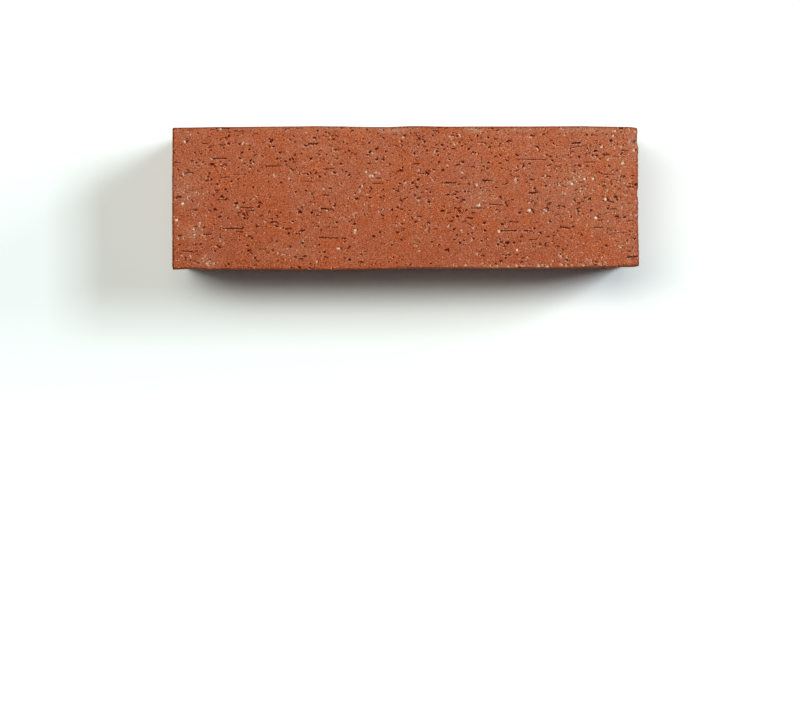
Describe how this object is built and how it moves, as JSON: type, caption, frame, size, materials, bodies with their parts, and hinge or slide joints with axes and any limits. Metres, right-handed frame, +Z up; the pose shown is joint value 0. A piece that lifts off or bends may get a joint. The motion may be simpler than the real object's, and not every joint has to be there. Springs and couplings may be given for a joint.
{
  "type": "clay brick",
  "caption": "Solid extruded facing brick of red fired clay, for laying in mortar with its pitted, drag-marked show face out.",
  "frame": {"origin": "middle of the underside, the back face that the brick lies on", "axes": "+X along the brick to its right end, +Y to its upper bed face, +Z up, out of the show face"},
  "size_m": [0.215, 0.0658, 0.1025],
  "materials": {
    "fired_clay": "matte"
  },
  "bodies": {
    "root": {"brick": "fired_clay"}
  },
  "joints": []
}
